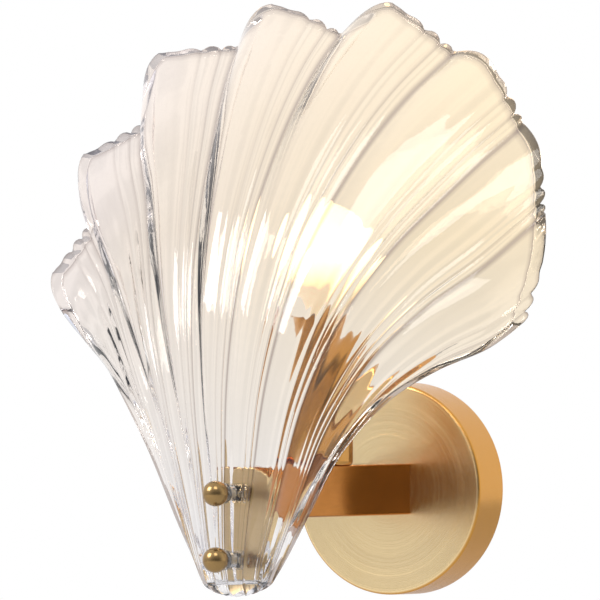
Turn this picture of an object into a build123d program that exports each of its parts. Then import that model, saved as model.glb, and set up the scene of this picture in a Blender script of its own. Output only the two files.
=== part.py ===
"""Shell wall sconce: a pleated glass shell on a square brass arm with a round wall cover.

Millimetres. The wall is the plane y = 0, the room lies towards -Y and +Z is up. The origin is the centre of the
wall-screw pattern, on the wall.
"""

from build123d import *

import os
from math import cos, floor, radians, sin, sqrt, tan

# ---- driving dimensions ---------------------------------------------------------------------------------------------

# fits
THREAD_GAP = 0.05  # radial, between a screw or nipple and its tapped hole
TURNING_GAP = 0.08  # radial, where a piece is turned on another by hand
PLAY = 0.3  # between pieces that are pushed together loosely

# wall cover, a spun cup
COVER_DIAMETER = 100.0
COVER_DEPTH = 22.0
COVER_WALL = 1.2
COVER_EDGE_RADIUS = 1.6

# mounting bar, a strip with two ears that the cover is screwed to
BAR_WIDTH = 18.0
BAR_THICKNESS = 2.0
BAR_EAR_DEPTH = 15.0
BAR_BEND_RADIUS = 2.6
WIRE_HOLE_DIAMETER = 14.0
WALL_SLOT_SPACING = 60.0
WALL_SLOT_WIDTH = 4.5
WALL_SLOT_LENGTH = 10.0
GRUB_SCREW_DIAMETER = 4.0
GRUB_SCREW_LENGTH = 6.0
GRUB_SCREW_DEPTH = 11.0  # from the wall
SCREW_TIP_DEPTH = 0.2  # from the wall, where the screws in the bar end

# earth screw and terminal block on the bar
EARTH_SCREW_DIAMETER = 4.0
EARTH_SCREW_Z = -15.0
EARTH_WASHER_THICKNESS = 0.8
TERMINAL_Z = 16.5
TERMINAL_WIDTH = 16.0
TERMINAL_HEIGHT = 13.0
TERMINAL_DEPTH = 10.5
TERMINAL_WIRE_HOLE = 3.2
TERMINAL_PITCH = 8.0
TERMINAL_CORNER_RADIUS = 1.2
CLAMP_SCREW_DIAMETER = 3.0
CLAMP_SCREW_SLOT = 0.6  # width and depth
CLAMP_SCREW_LENGTH = 2.8
TERMINAL_SCREW_DIAMETER = 2.5

# arm, a square tube with a block brazed into each end
ARM_SIDE = 24.0
ARM_WALL = 1.5
ARM_LENGTH = 128.0
ARM_EDGE_RADIUS = 0.8
ARM_BLOCK_LENGTH = 10.0
NIPPLE_DIAMETER = 10.0
NIPPLE_BORE = 7.5
NIPPLE_END = 2.0  # of a nipple past its nut
NUT_ACROSS_FLATS = 14.0
NUT_THICKNESS = 3.0
WASHER_DIAMETER = 17.0
WASHER_THICKNESS = 1.0

# glass bracket, a tongue on the front of the arm
BRACKET_WIDTH = 26.0
BRACKET_THICKNESS = 3.0
BRACKET_DROP = 30.0  # below the arm
BRACKET_CORNER_RADIUS = 9.0
BRACKET_EDGE_RADIUS = 0.6

# glass fixings
STUD_DIAMETER = 4.0
STUD_SPACING = 31.0
STUD_NUT_ACROSS_FLATS = 7.0
STUD_NUT_THICKNESS = 3.2
KNOB_DIAMETER = 12.0
KNOB_FLAT_DIAMETER = 6.4
KNOB_THREAD_DEPTH = 7.5
FRONT_WASHER_DIAMETER = 10.0
FRONT_WASHER_THICKNESS = 1.5
STUD_END_GAP = 2.0  # in the ball, beyond the stud
SPACER_DIAMETER = 9.0
GLASS_HOLE_DIAMETER = 8.0
SLEEVE_WALL = 1.4

# lamp holder cup on the arm
HOLDER_REACH = 60.0  # from the wall cover
CUP_DIAMETER = 28.4
CUP_HEIGHT = 70.0
CUP_WALL = 1.0
CUP_EDGE_RADIUS = 2.0
HOLDER_BASE_HEIGHT = 17.0
HOLDER_WALL = 3.0
SOCKET_DEPTH = 26.0
HOLDER_FLOOR_THICKNESS = 2.5
HOLDER_SHORTFALL = 1.5  # the holder ends this far under the rim of the cup
SCREW_SHELL_WALL = 0.4
SCREW_SHELL_LENGTH = 20.0
SCREW_SHELL_SHORTFALL = 1.0
CONTACT_STRIP_WIDTH = 5.0
CONTACT_STRIP_THICKNESS = 0.5
CONTACT_STRIP_LENGTH = 11.0
CONTACT_WIRE_HOLE = 2.0
CONTACT_WIRE_X = 3.5

# bulb, 45 mm golf ball with a 14 mm screw cap
BULB_DIAMETER = 45.0
BULB_TIP_RISE = 2.5  # of the bulb's tip over the floor of the socket
CAP_DIAMETER = 13.9
CAP_LENGTH = 21.0
CAP_WALL = 0.3
CAP_CONTACT_DIAMETER = 4.6
CAP_CONTACT_HEIGHT = 1.6
CAP_INSULATOR_HEIGHT = 3.2
CAP_INSULATOR_TIP_DIAMETER = 6.0
CAP_INSULATOR_FOOT_DIAMETER = 11.9
COLLAR_HEIGHT = 13.4
COLLAR_TOP_DIAMETER = 31.0
COLLAR_WALL = 1.2
GLOBE_WALL = 1.0
LED_BOARD_THICKNESS = 1.6
LED_SIDE = 2.8
LED_HEIGHT = 0.7

# glass shell: eight lobes that fan out from the neck, all leaning the same way
LOBES_PER_SIDE = 4
LOBE_ENDS = [0, 28, 52, 71, 90]  # degrees from the middle
GLASS_THICKNESS = 7.5
CREST_SHARE = 0.26  # of a lobe's width, from its steep side
CREST_FALL_POWER = 1.5
NECK_PLEAT_DEPTH = 1.3
PLEAT_DEPTHS = [10, 17, 20, 20, 16, 13, 12, 8]  # at the end of the paths below, left to right
PLEAT_GROWTH_POWER = 3
BODY_NARROWING = 0.22  # of the half width under the crown of the arch
RIM_WIDENING = 0.3  # takes that narrowing away again towards the rim
RIM_STATION = 0.835  # where the rim's plane cuts the paths below
RIM_NOTCH_RADII = [129, 126, 143, 150, 134, 144, 141, 134, 124]  # left to right
RIM_SCALLOP_DEPTHS = [12, 31, 34, 19, 19, 6, 2, 0.5]  # left to right
RIM_CREST_SHARE = 0.32
RIM_FALL_POWER = 0.8
RIM_FACE_LEAN = 30.0  # degrees, between the rim's face and the normal of the rim's plane

# The glass's side edge and the middle line of its front, from the neck to past the rim. Their y is measured from the
# front of the bracket.
SIDE_EDGE = [
    (15, -5, -46),
    (24, -3, -32),
    (35, -2, -13),
    (51, 1, 16),
    (71, 10, 41),
    (91, 25.5, 57),
    (111, 41, 68),
    (130, 48, 84),
    (141, 59, 100),
    (151, 72, 117),
]
FRONT_MIDDLE = [
    (0, -7, -51),
    (0, -15, -43),
    (0, -18, -25),
    (0, -18, 14),
    (0, -17, 45),
    (0, -13, 72),
    (0, -6, 98),
    (0, 6, 125),
    (0, 23, 152),
    (0, 43, 177),
    (0, 66, 199),
    (0, 91, 217),
    (0, 113, 232),
    (0, 137, 244),
]

# ---- places that follow ---------------------------------------------------------------------------------------------

COVER_FACE_Y = -COVER_DEPTH
ARM_END_Y = COVER_FACE_Y - ARM_LENGTH
ARM_TOP_Z = ARM_SIDE / 2
HOLDER_Y = COVER_FACE_Y - HOLDER_REACH
ARM_BORE = ARM_SIDE - 2 * ARM_WALL
BRACKET_FRONT_Y = ARM_END_Y - BRACKET_THICKNESS
STUD_NUT_FRONT_Y = BRACKET_FRONT_Y - STUD_NUT_THICKNESS
GLASS_FRONT_Y = BRACKET_FRONT_Y + min(y for x, y, z in FRONT_MIDDLE)
GLASS_BACK_Y = GLASS_FRONT_Y + GLASS_THICKNESS
STUD_HEIGHTS = {"upper": 0.0, "lower": -STUD_SPACING}
BAR_EAR_Z = sqrt((COVER_DIAMETER / 2 - COVER_WALL - PLAY) ** 2 - (BAR_WIDTH / 2) ** 2)
CUP_FLOOR_Z = ARM_TOP_Z + CUP_WALL
CUP_TOP_Z = ARM_TOP_Z + CUP_HEIGHT
HOLDER_DIAMETER = CUP_DIAMETER - 2 * CUP_WALL - PLAY
HOLDER_TOP_Z = CUP_TOP_Z - HOLDER_SHORTFALL
SOCKET_FLOOR_Z = HOLDER_TOP_Z - SOCKET_DEPTH
HOLDER_FLOOR_Z = SOCKET_FLOOR_Z - HOLDER_FLOOR_THICKNESS
BULB_TIP_Z = SOCKET_FLOOR_Z + BULB_TIP_RISE
CAP_FOOT_Z = BULB_TIP_Z + CAP_CONTACT_HEIGHT + CAP_INSULATOR_HEIGHT
CAP_TOP_Z = CAP_FOOT_Z + CAP_LENGTH
COLLAR_TOP_Z = CAP_TOP_Z + COLLAR_HEIGHT
GLOBE_CENTRE_Z = COLLAR_TOP_Z + sqrt(BULB_DIAMETER**2 - COLLAR_TOP_DIAMETER**2) / 2

os.makedirs("parts", exist_ok=True)


def write(part, name):
    part.label = name
    export_step(part, f"parts/{name}.step")


# ---- wall fixing ----------------------------------------------------------------------------------------------------

# The strip lies on the wall, with a slot for a wall screw above and below the wire hole. Its ends turn forward into
# ears, each tapped for a grub screw.
with BuildPart() as mounting_bar:
    with BuildSketch(Plane.YZ.offset(-BAR_WIDTH / 2)):
        with BuildLine():
            outside = FilletPolyline(
                (-BAR_EAR_DEPTH, BAR_EAR_Z),
                (0, BAR_EAR_Z),
                (0, -BAR_EAR_Z),
                (-BAR_EAR_DEPTH, -BAR_EAR_Z),
                radius=BAR_BEND_RADIUS,
            )
            offset(outside, amount=BAR_THICKNESS, side=Side.RIGHT)
        make_face()
    extrude(amount=BAR_WIDTH)
    with BuildSketch(Plane.XZ):
        Circle(WIRE_HOLE_DIAMETER / 2)
        with GridLocations(0, WALL_SLOT_SPACING, 1, 2):
            SlotOverall(WALL_SLOT_LENGTH, WALL_SLOT_WIDTH, rotation=90)
        with Locations((0, EARTH_SCREW_Z)):
            Circle(EARTH_SCREW_DIAMETER / 2 + THREAD_GAP)
        with Locations((0, TERMINAL_Z)):
            Circle(TERMINAL_SCREW_DIAMETER / 2 + THREAD_GAP)
    extrude(amount=BAR_THICKNESS, mode=Mode.SUBTRACT)
    with BuildSketch(Plane.XY.offset(-BAR_EAR_Z)):
        with Locations((0, -GRUB_SCREW_DEPTH)):
            Circle(GRUB_SCREW_DIAMETER / 2 + THREAD_GAP)
    extrude(amount=2 * BAR_EAR_Z, mode=Mode.SUBTRACT)
write(mounting_bar.part, "mounting_bar")

# One headless screw through the rim of the cover into each ear.
with BuildPart() as cover_grub_screws:
    for side in (1, -1):
        with BuildSketch(Plane.XY.offset(side * (COVER_DIAMETER / 2 - GRUB_SCREW_LENGTH))):
            with Locations((0, -GRUB_SCREW_DEPTH)):
                Circle(GRUB_SCREW_DIAMETER / 2)
        extrude(amount=side * GRUB_SCREW_LENGTH)
        with BuildSketch(Plane.XY.offset(side * COVER_DIAMETER / 2)):
            with Locations((0, -GRUB_SCREW_DEPTH)):
                RegularPolygon(GRUB_SCREW_DIAMETER / 4, 6, major_radius=False)
        extrude(amount=-side * GRUB_SCREW_DIAMETER / 2, mode=Mode.SUBTRACT)
write(cover_grub_screws.part, "cover_grub_screws")

EARTH_SEAT_Y = -BAR_THICKNESS - EARTH_WASHER_THICKNESS

with BuildPart() as earth_washer:
    with BuildSketch(Plane.XZ.offset(BAR_THICKNESS)):
        with Locations((0, EARTH_SCREW_Z)):
            Circle(1.1 * EARTH_SCREW_DIAMETER)
            Circle(EARTH_SCREW_DIAMETER / 2 + PLAY / 2, mode=Mode.SUBTRACT)
    extrude(amount=EARTH_WASHER_THICKNESS)
write(earth_washer.part, "earth_washer")

# Pan head with a cross recess, screwed into the bar.
with BuildPart() as earth_screw:
    with BuildSketch(Plane.XZ.offset(SCREW_TIP_DEPTH)):
        with Locations((0, EARTH_SCREW_Z)):
            Circle(EARTH_SCREW_DIAMETER / 2)
    extrude(amount=-EARTH_SEAT_Y - SCREW_TIP_DEPTH)
    with BuildSketch(Plane.XZ.offset(-EARTH_SEAT_Y)):
        with Locations((0, EARTH_SCREW_Z)):
            Circle(EARTH_SCREW_DIAMETER)
    extrude(amount=0.6 * EARTH_SCREW_DIAMETER)
    earth_head = earth_screw.faces().sort_by(Axis.Y)[0]
    fillet(earth_head.edges(), 0.3 * EARTH_SCREW_DIAMETER)
    with BuildSketch(Plane.XZ.offset(-EARTH_SEAT_Y + 0.6 * EARTH_SCREW_DIAMETER)):
        with Locations((0, EARTH_SCREW_Z)):
            Rectangle(EARTH_SCREW_DIAMETER, 0.2 * EARTH_SCREW_DIAMETER)
            Rectangle(0.2 * EARTH_SCREW_DIAMETER, EARTH_SCREW_DIAMETER)
    extrude(amount=-0.35 * EARTH_SCREW_DIAMETER, mode=Mode.SUBTRACT)
write(earth_screw.part, "earth_screw")

# Two-way block: a wire goes in from the side into each way and a clamp screw holds it from the front.
TERMINAL_FRONT_Y = -BAR_THICKNESS - TERMINAL_DEPTH
with BuildPart() as terminal_block:
    with BuildSketch(Plane.XZ.offset(BAR_THICKNESS)):
        with Locations((0, TERMINAL_Z)):
            RectangleRounded(TERMINAL_WIDTH, TERMINAL_HEIGHT, TERMINAL_CORNER_RADIUS)
    extrude(amount=TERMINAL_DEPTH)
    with BuildSketch(Plane.XY.offset(TERMINAL_Z - TERMINAL_HEIGHT / 2)):
        with Locations((0, -BAR_THICKNESS - TERMINAL_DEPTH / 2)):
            with GridLocations(TERMINAL_PITCH, 0, 2, 1):
                Circle(TERMINAL_WIRE_HOLE / 2)
    extrude(amount=TERMINAL_HEIGHT, mode=Mode.SUBTRACT)
    with BuildSketch(Plane.XZ.offset(-TERMINAL_FRONT_Y)):
        with Locations((0, TERMINAL_Z)):
            with GridLocations(TERMINAL_PITCH, TERMINAL_HEIGHT / 2, 2, 2):
                Circle(CLAMP_SCREW_DIAMETER / 2 + THREAD_GAP)
    extrude(amount=-TERMINAL_DEPTH / 2 + TERMINAL_WIRE_HOLE / 2, mode=Mode.SUBTRACT)
    with BuildSketch(Plane.XZ.offset(BAR_THICKNESS)):
        with Locations((0, TERMINAL_Z)):
            Circle(TERMINAL_SCREW_DIAMETER / 2 + PLAY / 2)
    extrude(amount=TERMINAL_DEPTH, mode=Mode.SUBTRACT)
write(terminal_block.part, "terminal_block")

with BuildPart() as terminal_clamp_screws:
    with BuildSketch(Plane.XZ.offset(-TERMINAL_FRONT_Y - CLAMP_SCREW_SLOT)):
        with Locations((0, TERMINAL_Z)):
            with GridLocations(TERMINAL_PITCH, TERMINAL_HEIGHT / 2, 2, 2):
                Circle(CLAMP_SCREW_DIAMETER / 2)
                Rectangle(CLAMP_SCREW_DIAMETER, CLAMP_SCREW_SLOT, mode=Mode.SUBTRACT)
    extrude(amount=-CLAMP_SCREW_SLOT)
    with BuildSketch(Plane.XZ.offset(-TERMINAL_FRONT_Y - 2 * CLAMP_SCREW_SLOT)):
        with Locations((0, TERMINAL_Z)):
            with GridLocations(TERMINAL_PITCH, TERMINAL_HEIGHT / 2, 2, 2):
                Circle(CLAMP_SCREW_DIAMETER / 2)
    extrude(amount=CLAMP_SCREW_SLOT - CLAMP_SCREW_LENGTH)
write(terminal_clamp_screws.part, "terminal_clamp_screws")

# The screw between the two ways that holds the block on the bar.
with BuildPart() as terminal_block_screw:
    with BuildSketch(Plane.XZ.offset(SCREW_TIP_DEPTH)):
        with Locations((0, TERMINAL_Z)):
            Circle(TERMINAL_SCREW_DIAMETER / 2)
    extrude(amount=-TERMINAL_FRONT_Y - SCREW_TIP_DEPTH)
    with BuildSketch(Plane.XZ.offset(-TERMINAL_FRONT_Y)):
        with Locations((0, TERMINAL_Z)):
            Circle(0.85 * TERMINAL_SCREW_DIAMETER)
    extrude(amount=0.6 * TERMINAL_SCREW_DIAMETER)
    fillet(terminal_block_screw.faces().sort_by(Axis.Y)[0].edges(), 0.2 * TERMINAL_SCREW_DIAMETER)
write(terminal_block_screw.part, "terminal_block_screw")

# Spun cup with a rounded front edge. The arm's nipple passes through the middle of its face.
with BuildPart() as wall_cover:
    with BuildSketch(Plane.XZ):
        Circle(COVER_DIAMETER / 2)
    extrude(amount=COVER_DEPTH)
    cover_front = wall_cover.faces().sort_by(Axis.Y)[0]
    fillet(cover_front.edges(), COVER_EDGE_RADIUS)
    cover_back = wall_cover.faces().sort_by(Axis.Y)[-1]
    offset(amount=-COVER_WALL, openings=cover_back)
    with BuildSketch(Plane.XZ.offset(COVER_DEPTH)):
        Circle(NIPPLE_DIAMETER / 2 + PLAY / 2)
    extrude(amount=-COVER_WALL, mode=Mode.SUBTRACT)
    with BuildSketch(Plane.XY.offset(-COVER_DIAMETER / 2)):
        with Locations((0, -GRUB_SCREW_DEPTH)):
            Circle(GRUB_SCREW_DIAMETER / 2 + PLAY / 2)
    extrude(amount=COVER_DIAMETER, mode=Mode.SUBTRACT)
write(wall_cover.part, "wall_cover")

# ---- arm ------------------------------------------------------------------------------------------------------------

NIPPLE_BACK_Y = COVER_FACE_Y + COVER_WALL + WASHER_THICKNESS + NUT_THICKNESS + NIPPLE_END
NIPPLE_FRONT_Y = COVER_FACE_Y - 0.9 * ARM_BLOCK_LENGTH

# Hollow threaded rod: it bolts the arm to the cover and lets the wires through.
with BuildPart() as arm_nipple:
    with BuildSketch(Plane.XZ.offset(-NIPPLE_BACK_Y)):
        Circle(NIPPLE_DIAMETER / 2)
        Circle(NIPPLE_BORE / 2, mode=Mode.SUBTRACT)
    extrude(amount=NIPPLE_BACK_Y - NIPPLE_FRONT_Y)
write(arm_nipple.part, "arm_nipple")

with BuildPart() as arm_washer:
    with BuildSketch(Plane.XZ.offset(COVER_DEPTH - COVER_WALL)):
        Circle(WASHER_DIAMETER / 2)
        Circle(NIPPLE_DIAMETER / 2 + PLAY / 2, mode=Mode.SUBTRACT)
    extrude(amount=-WASHER_THICKNESS)
write(arm_washer.part, "arm_washer")

with BuildPart() as arm_nut:
    with BuildSketch(Plane.XZ.offset(COVER_DEPTH - COVER_WALL - WASHER_THICKNESS)):
        RegularPolygon(NUT_ACROSS_FLATS / 2, 6, major_radius=False)
        Circle(NIPPLE_DIAMETER / 2 + THREAD_GAP, mode=Mode.SUBTRACT)
    extrude(amount=-NUT_THICKNESS)
write(arm_nut.part, "arm_nut")

# Square tube, with one hole in its top wall for the lamp holder's nipple.
with BuildPart() as arm:
    with BuildSketch(Plane.XZ.offset(COVER_DEPTH)):
        RectangleRounded(ARM_SIDE, ARM_SIDE, ARM_EDGE_RADIUS)
        Rectangle(ARM_BORE, ARM_BORE, mode=Mode.SUBTRACT)
    extrude(amount=ARM_LENGTH)
    with BuildSketch(Plane.XY.offset(ARM_TOP_Z)):
        with Locations((0, HOLDER_Y)):
            Circle(NIPPLE_DIAMETER / 2 + PLAY / 2)
    extrude(amount=-ARM_WALL, mode=Mode.SUBTRACT)
write(arm.part, "arm")

with BuildPart() as arm_rear_block:
    with BuildSketch(Plane.XZ.offset(COVER_DEPTH)):
        Rectangle(ARM_BORE, ARM_BORE)
        Circle(NIPPLE_DIAMETER / 2 + THREAD_GAP, mode=Mode.SUBTRACT)
    extrude(amount=ARM_BLOCK_LENGTH)
write(arm_rear_block.part, "arm_rear_block")

with BuildPart() as arm_front_block:
    with BuildSketch(Plane.XZ.offset(-ARM_END_Y)):
        Rectangle(ARM_BORE, ARM_BORE)
        Circle(STUD_DIAMETER / 2 + THREAD_GAP, mode=Mode.SUBTRACT)
    extrude(amount=-ARM_BLOCK_LENGTH)
write(arm_front_block.part, "arm_front_block")

# Flat tongue across the end of the arm. It hangs below the arm and has two tapped holes for the studs.
with BuildPart() as glass_bracket:
    with BuildSketch(Plane.XZ.offset(-ARM_END_Y)) as bracket_face:
        with Locations((0, -BRACKET_DROP / 2)):
            Rectangle(BRACKET_WIDTH, ARM_SIDE + BRACKET_DROP)
        fillet(bracket_face.vertices().group_by(Axis.Z)[0], BRACKET_CORNER_RADIUS)
        fillet(bracket_face.vertices().group_by(Axis.Z)[-1], ARM_EDGE_RADIUS)
        for stud_z in STUD_HEIGHTS.values():
            with Locations((0, stud_z)):
                Circle(STUD_DIAMETER / 2 + THREAD_GAP, mode=Mode.SUBTRACT)
    extrude(amount=BRACKET_THICKNESS)
    bracket_front = glass_bracket.faces().sort_by(Axis.Y)[0]
    fillet(bracket_front.outer_wire().edges(), BRACKET_EDGE_RADIUS)
write(glass_bracket.part, "glass_bracket")

# ---- lamp holder ----------------------------------------------------------------------------------------------------

HOLDER_NIPPLE_FOOT_Z = ARM_TOP_Z - ARM_WALL - WASHER_THICKNESS - NUT_THICKNESS - NIPPLE_END
HOLDER_NIPPLE_TOP_Z = CUP_FLOOR_Z + HOLDER_BASE_HEIGHT / 2

with BuildPart() as holder_nipple:
    with BuildSketch(Plane.XY.offset(HOLDER_NIPPLE_FOOT_Z)):
        with Locations((0, HOLDER_Y)):
            Circle(NIPPLE_DIAMETER / 2)
            Circle(NIPPLE_BORE / 2, mode=Mode.SUBTRACT)
    extrude(amount=HOLDER_NIPPLE_TOP_Z - HOLDER_NIPPLE_FOOT_Z)
write(holder_nipple.part, "holder_nipple")

with BuildPart() as holder_washer:
    with BuildSketch(Plane.XY.offset(ARM_TOP_Z - ARM_WALL)):
        with Locations((0, HOLDER_Y)):
            Circle(WASHER_DIAMETER / 2)
            Circle(NIPPLE_DIAMETER / 2 + PLAY / 2, mode=Mode.SUBTRACT)
    extrude(amount=-WASHER_THICKNESS)
write(holder_washer.part, "holder_washer")

with BuildPart() as holder_nut:
    with BuildSketch(Plane.XY.offset(ARM_TOP_Z - ARM_WALL - WASHER_THICKNESS)):
        with Locations((0, HOLDER_Y)):
            RegularPolygon(NUT_ACROSS_FLATS / 2, 6, major_radius=False)
            Circle(NIPPLE_DIAMETER / 2 + THREAD_GAP, mode=Mode.SUBTRACT)
    extrude(amount=-NUT_THICKNESS)
write(holder_nut.part, "holder_nut")

# Brass cup that hides the holder: thin wall, rounded foot, open at the top.
with BuildPart() as holder_cup:
    with BuildSketch(Plane.XY.offset(ARM_TOP_Z)):
        with Locations((0, HOLDER_Y)):
            Circle(CUP_DIAMETER / 2)
    extrude(amount=CUP_HEIGHT)
    fillet(holder_cup.faces().sort_by(Axis.Z)[0].edges(), CUP_EDGE_RADIUS)
    offset(amount=-CUP_WALL, openings=holder_cup.faces().sort_by(Axis.Z)[-1])
    with BuildSketch(Plane.XY.offset(ARM_TOP_Z)):
        with Locations((0, HOLDER_Y)):
            Circle(NIPPLE_DIAMETER / 2 + PLAY / 2)
    extrude(amount=CUP_WALL, mode=Mode.SUBTRACT)
write(holder_cup.part, "holder_cup")

# Moulded base: a cap with a tapped foot, where the wires are joined.
with BuildPart() as holder_base:
    with BuildSketch(Plane.XY.offset(CUP_FLOOR_Z)):
        with Locations((0, HOLDER_Y)):
            Circle(HOLDER_DIAMETER / 2)
    extrude(amount=HOLDER_BASE_HEIGHT)
    fillet(holder_base.faces().sort_by(Axis.Z)[0].edges(), CUP_EDGE_RADIUS)
    with BuildSketch(Plane.XY.offset(CUP_FLOOR_Z + HOLDER_BASE_HEIGHT)):
        with Locations((0, HOLDER_Y)):
            Circle(HOLDER_DIAMETER / 2 - HOLDER_WALL)
    extrude(amount=-HOLDER_BASE_HEIGHT / 2, mode=Mode.SUBTRACT)
    with BuildSketch(Plane.XY.offset(CUP_FLOOR_Z)):
        with Locations((0, HOLDER_Y)):
            Circle(NIPPLE_DIAMETER / 2 + THREAD_GAP)
    extrude(amount=HOLDER_BASE_HEIGHT, mode=Mode.SUBTRACT)
write(holder_base.part, "holder_base")

# Moulded sleeve: a floor carries the middle contact, and the screw shell lines the socket above it.
SCREW_SHELL_RADIUS = CAP_DIAMETER / 2 + TURNING_GAP + SCREW_SHELL_WALL
with BuildPart() as holder_sleeve:
    with BuildSketch(Plane.XY.offset(CUP_FLOOR_Z + HOLDER_BASE_HEIGHT)):
        with Locations((0, HOLDER_Y)):
            Circle(HOLDER_DIAMETER / 2)
    extrude(amount=HOLDER_TOP_Z - CUP_FLOOR_Z - HOLDER_BASE_HEIGHT)
    with BuildSketch(Plane.XY.offset(CUP_FLOOR_Z + HOLDER_BASE_HEIGHT)):
        with Locations((0, HOLDER_Y)):
            Circle(HOLDER_DIAMETER / 2 - HOLDER_WALL)
    extrude(amount=HOLDER_FLOOR_Z - CUP_FLOOR_Z - HOLDER_BASE_HEIGHT, mode=Mode.SUBTRACT)
    with BuildSketch(Plane.XY.offset(SOCKET_FLOOR_Z)):
        with Locations((0, HOLDER_Y)):
            Circle(SCREW_SHELL_RADIUS + THREAD_GAP)
    extrude(amount=SOCKET_DEPTH, mode=Mode.SUBTRACT)
    with BuildSketch(Plane.XY.offset(HOLDER_FLOOR_Z)):
        with Locations((CONTACT_WIRE_X, HOLDER_Y)):
            Circle(CONTACT_WIRE_HOLE / 2)
    extrude(amount=HOLDER_FLOOR_THICKNESS, mode=Mode.SUBTRACT)
write(holder_sleeve.part, "holder_sleeve")

with BuildPart() as screw_shell:
    with BuildSketch(Plane.XY.offset(HOLDER_TOP_Z - SCREW_SHELL_SHORTFALL)):
        with Locations((0, HOLDER_Y)):
            Circle(SCREW_SHELL_RADIUS)
            Circle(SCREW_SHELL_RADIUS - SCREW_SHELL_WALL, mode=Mode.SUBTRACT)
    extrude(amount=-SCREW_SHELL_LENGTH)
write(screw_shell.part, "screw_shell")

# Springy strip: it lies on the floor of the socket, folds back and rises to the bulb's tip.
CONTACT_RISE = BULB_TIP_RISE - PLAY
contact_foot = (0, HOLDER_Y + CONTACT_STRIP_WIDTH / 2, SOCKET_FLOOR_Z)
with BuildPart() as middle_contact:
    with BuildSketch(Plane(origin=contact_foot, x_dir=(1, 0, 0), z_dir=(0, -1, 0))):
        with BuildLine():
            strip = FilletPolyline(
                (CONTACT_STRIP_LENGTH / 2, 0),
                (-CONTACT_STRIP_LENGTH / 2, 0),
                (-CONTACT_STRIP_LENGTH / 4, CONTACT_RISE),
                (CONTACT_STRIP_LENGTH / 4, CONTACT_RISE),
                radius=1.2 * CONTACT_STRIP_THICKNESS,
            )
            offset(strip, amount=CONTACT_STRIP_THICKNESS, side=Side.RIGHT)
        make_face()
    extrude(amount=CONTACT_STRIP_WIDTH)
write(middle_contact.part, "middle_contact")

# ---- bulb -----------------------------------------------------------------------------------------------------------

with BuildPart() as bulb_contact:
    with BuildSketch(Plane.XY.offset(BULB_TIP_Z)):
        with Locations((0, HOLDER_Y)):
            Circle(CAP_CONTACT_DIAMETER / 2)
    extrude(amount=CAP_CONTACT_HEIGHT)
    fillet(bulb_contact.faces().sort_by(Axis.Z)[0].edges(), CAP_CONTACT_HEIGHT / 2)
write(bulb_contact.part, "bulb_contact")

# Glass bead between the contact and the screw cap.
with BuildPart() as bulb_insulator:
    with BuildSketch(Plane.XY.offset(BULB_TIP_Z + CAP_CONTACT_HEIGHT)):
        with Locations((0, HOLDER_Y)):
            Circle(CAP_INSULATOR_TIP_DIAMETER / 2)
    with BuildSketch(Plane.XY.offset(CAP_FOOT_Z)):
        with Locations((0, HOLDER_Y)):
            Circle(CAP_INSULATOR_FOOT_DIAMETER / 2)
    loft()
write(bulb_insulator.part, "bulb_insulator")

with BuildPart() as bulb_cap:
    with BuildSketch(Plane.XY.offset(CAP_FOOT_Z)):
        with Locations((0, HOLDER_Y)):
            Circle(CAP_DIAMETER / 2)
            Circle(CAP_DIAMETER / 2 - CAP_WALL, mode=Mode.SUBTRACT)
    extrude(amount=CAP_LENGTH)
    with BuildSketch(Plane.XY.offset(CAP_FOOT_Z)):
        with Locations((0, HOLDER_Y)):
            Circle(CAP_DIAMETER / 2)
    extrude(amount=CAP_WALL)
write(bulb_cap.part, "bulb_cap")

# Flared plastic collar between the cap and the globe.
with BuildPart() as bulb_collar:
    with BuildSketch(Plane.YZ):
        with BuildLine():
            collar_foot = (HOLDER_Y + CAP_DIAMETER / 2 + COLLAR_WALL, CAP_TOP_Z)
            collar_waist = (HOLDER_Y + CAP_DIAMETER / 2 + 2 * COLLAR_WALL, CAP_TOP_Z + COLLAR_HEIGHT / 3)
            collar_rim = (HOLDER_Y + COLLAR_TOP_DIAMETER / 2, COLLAR_TOP_Z)
            flare = Spline(collar_foot, collar_waist, collar_rim)
            Line(collar_rim, (collar_rim[0] - COLLAR_WALL, COLLAR_TOP_Z))
            Spline(
                (collar_rim[0] - COLLAR_WALL, COLLAR_TOP_Z),
                (collar_waist[0] - COLLAR_WALL, collar_waist[1] + COLLAR_WALL),
                (HOLDER_Y + CAP_DIAMETER / 2 - CAP_WALL, CAP_TOP_Z + COLLAR_WALL),
            )
            Polyline(
                (HOLDER_Y + CAP_DIAMETER / 2 - CAP_WALL, CAP_TOP_Z + COLLAR_WALL),
                (HOLDER_Y, CAP_TOP_Z + COLLAR_WALL),
                (HOLDER_Y, CAP_TOP_Z),
                collar_foot,
            )
        make_face()
    revolve(axis=Axis((0, HOLDER_Y, 0), (0, 0, 1)))
write(bulb_collar.part, "bulb_collar")

# Board with the light sources, on a ledge inside the collar.
LED_BOARD_RADIUS = COLLAR_TOP_DIAMETER / 2 - 2.6 * COLLAR_WALL
with BuildPart() as led_board:
    with BuildSketch(Plane.XY.offset(COLLAR_TOP_Z - LED_BOARD_THICKNESS)):
        with Locations((0, HOLDER_Y)):
            Circle(LED_BOARD_RADIUS)
    extrude(amount=LED_BOARD_THICKNESS)
    with BuildSketch(Plane.XY.offset(COLLAR_TOP_Z)):
        with Locations((0, HOLDER_Y)):
            with PolarLocations(LED_BOARD_RADIUS / 2, 6):
                Rectangle(LED_SIDE, LED_SIDE)
    extrude(amount=LED_HEIGHT)
write(led_board.part, "led_board")

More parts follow.
